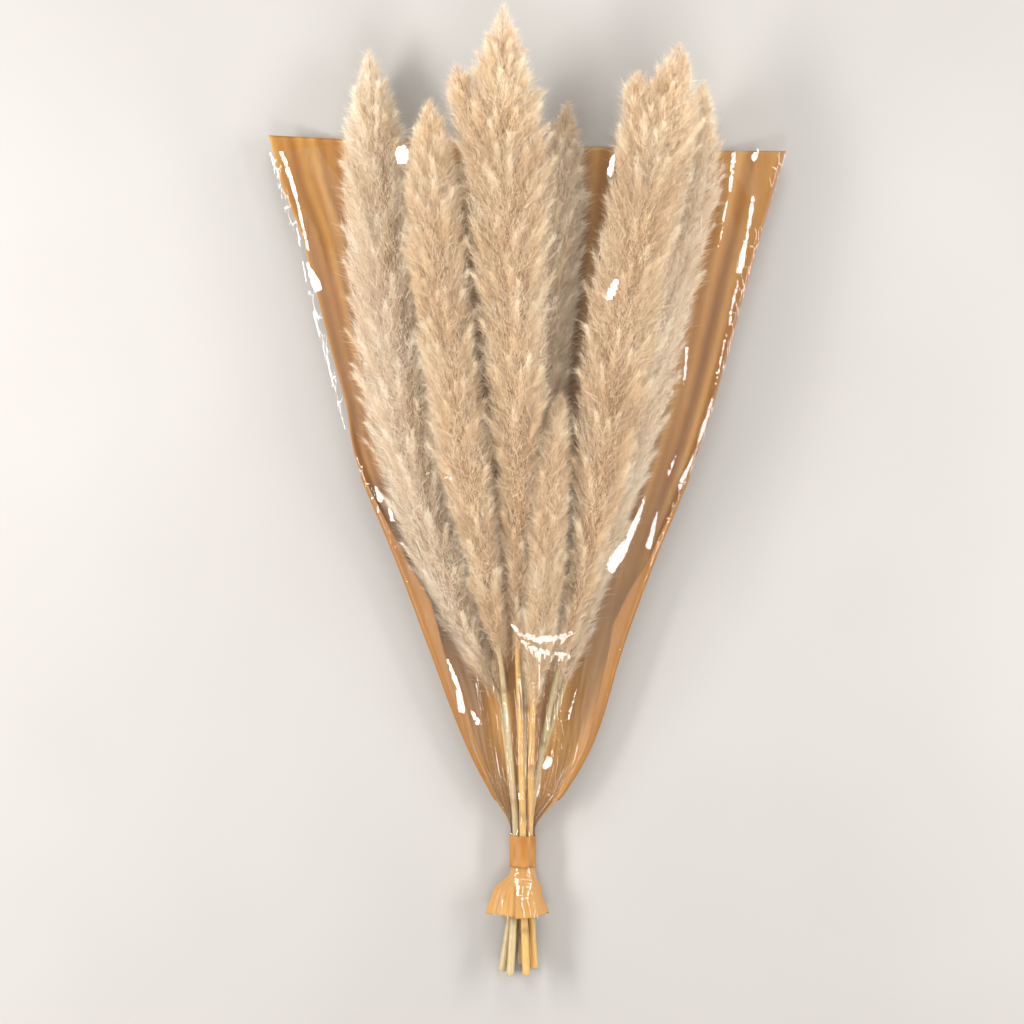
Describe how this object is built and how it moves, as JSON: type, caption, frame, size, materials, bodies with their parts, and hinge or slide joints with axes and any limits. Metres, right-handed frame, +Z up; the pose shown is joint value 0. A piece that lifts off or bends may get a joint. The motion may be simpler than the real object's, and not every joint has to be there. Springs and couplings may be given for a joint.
{
  "type": "pampas grass bundle",
  "caption": "Dried pampas grass plumes in a tapered sleeve of kraft paper and clear film, gathered by a paper band and lying on its back.",
  "frame": {"origin": "middle of the bundle's footprint, on the surface it lies on", "axes": "+Y towards the plume tips, +X to the right as seen from above, +Z up, out of the clear film"},
  "size_m": [0.539, 1, 0.127],
  "materials": {
    "pale_plume": "dry feathery hairs, matt, pale cream",
    "warm_plume": "dry feathery hairs, matt, warm beige",
    "stem_cane": "dry straw cane, satin",
    "kraft_sheet": "brown kraft paper, satin, softly creased",
    "clear_film": "clear cellophane, glossy, crinkled",
    "band_paper": "brown kraft paper strip, satin"
  },
  "bodies": {
    "root": {"plume_left_outer": "pale_plume", "plume_left_inner": "warm_plume", "plume_centre_tall": "warm_plume", "plume_centre_right": "pale_plume", "plume_right_tall": "warm_plume", "plume_right_outer": "pale_plume", "plume_right_low": "warm_plume", "stem_left_outer": "stem_cane", "stem_left_inner": "stem_cane", "stem_centre_tall": "stem_cane", "stem_centre_right": "stem_cane", "stem_right_tall": "stem_cane", "stem_right_outer": "stem_cane", "stem_right_low": "stem_cane", "kraft_back_sheet": "kraft_sheet", "clear_front_film": "clear_film", "kraft_band": "band_paper"}
  },
  "joints": []
}
